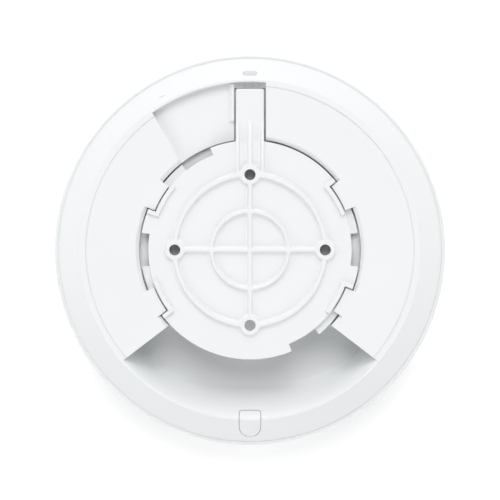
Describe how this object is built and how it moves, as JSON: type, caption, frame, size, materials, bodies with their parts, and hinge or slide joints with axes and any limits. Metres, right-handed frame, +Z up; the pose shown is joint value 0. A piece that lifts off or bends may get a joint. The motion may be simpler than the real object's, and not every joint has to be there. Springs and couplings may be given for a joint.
{
  "type": "ceiling access point",
  "caption": "Round white ceiling access point with a domed front, a twist-on ribbed mounting bracket, a flexing latch arm, a cable recess and a lift-out cable door.",
  "frame": {"origin": "centre of the bracket's ceiling face, in the plane of the boss and rib tops", "axes": "+Z up into the ceiling along the twist axis, +Y towards the latch arm, +X to the right when looking down onto the ceiling side"},
  "size_m": [0.16, 0.16, 0.033],
  "materials": {
    "bracket_white": "satin",
    "body_white": "satin",
    "dome_white": "satin",
    "lens": "translucent",
    "led": "clear",
    "board": "solder mask",
    "steel": "tinned",
    "alloy": "as cast",
    "pad": "soft",
    "chip": "moulded",
    "black_plastic": "moulded",
    "grey_plastic": "moulded",
    "contact": "plated",
    "ferrite": "pressed",
    "capacitor": "sleeved can",
    "cable": "jacket"
  },
  "bodies": {
    "bracket": {"bracket_plate": "bracket_white"},
    "latch": {"latch_arm": "bracket_white"},
    "housing": {"back_cover": "body_white", "front_dome": "dome_white", "status_lens": "lens", "light_guide": "lens", "status_leds": "led", "main_board": "board", "board_screws": "steel", "heat_spreader": "alloy", "thermal_pads": "pad", "processor_shield": "steel", "radio_shields": "steel", "processor_chip": "chip", "memory_chips": "chip", "radio_chips": "chip", "jack_shell": "steel", "jack_insert": "black_plastic", "jack_contacts": "contact", "lan_transformer": "black_plastic", "power_transformer": "ferrite", "power_inductors": "ferrite", "power_capacitors": "capacitor", "reset_switch": "black_plastic", "antenna_carriers": "grey_plastic", "antennas": "contact", "antenna_cables": "cable", "cable_plugs": "contact"},
    "reset": {"reset_stem": "dome_white", "reset_button": "grey_plastic"},
    "door": {"cable_door": "body_white"}
  },
  "joints": [
    {"name": "lock_twist", "type": "hinge", "parent": "bracket", "child": "housing", "pos_m": [0, 0, 0], "axis": [0, 0, -1], "range_deg": [0, 30]},
    {"name": "latch_flex", "type": "hinge", "parent": "bracket", "child": "latch", "pos_m": [0, 0.0446, -0.0032], "axis": [1, 0, 0], "range_deg": [0, 7], "stiffness_Nm_per_rad": 0.15, "deforming": ["latch_arm"]},
    {"name": "reset_press", "type": "slide", "parent": "housing", "child": "reset", "axis": [0, 1, 0], "range_m": [0, 0.0006], "stiffness_N_per_m": 2000},
    {"name": "door_pull", "type": "slide", "parent": "housing", "child": "door", "axis": [0, 0, 1], "range_m": [0, 0.012]}
  ]
}
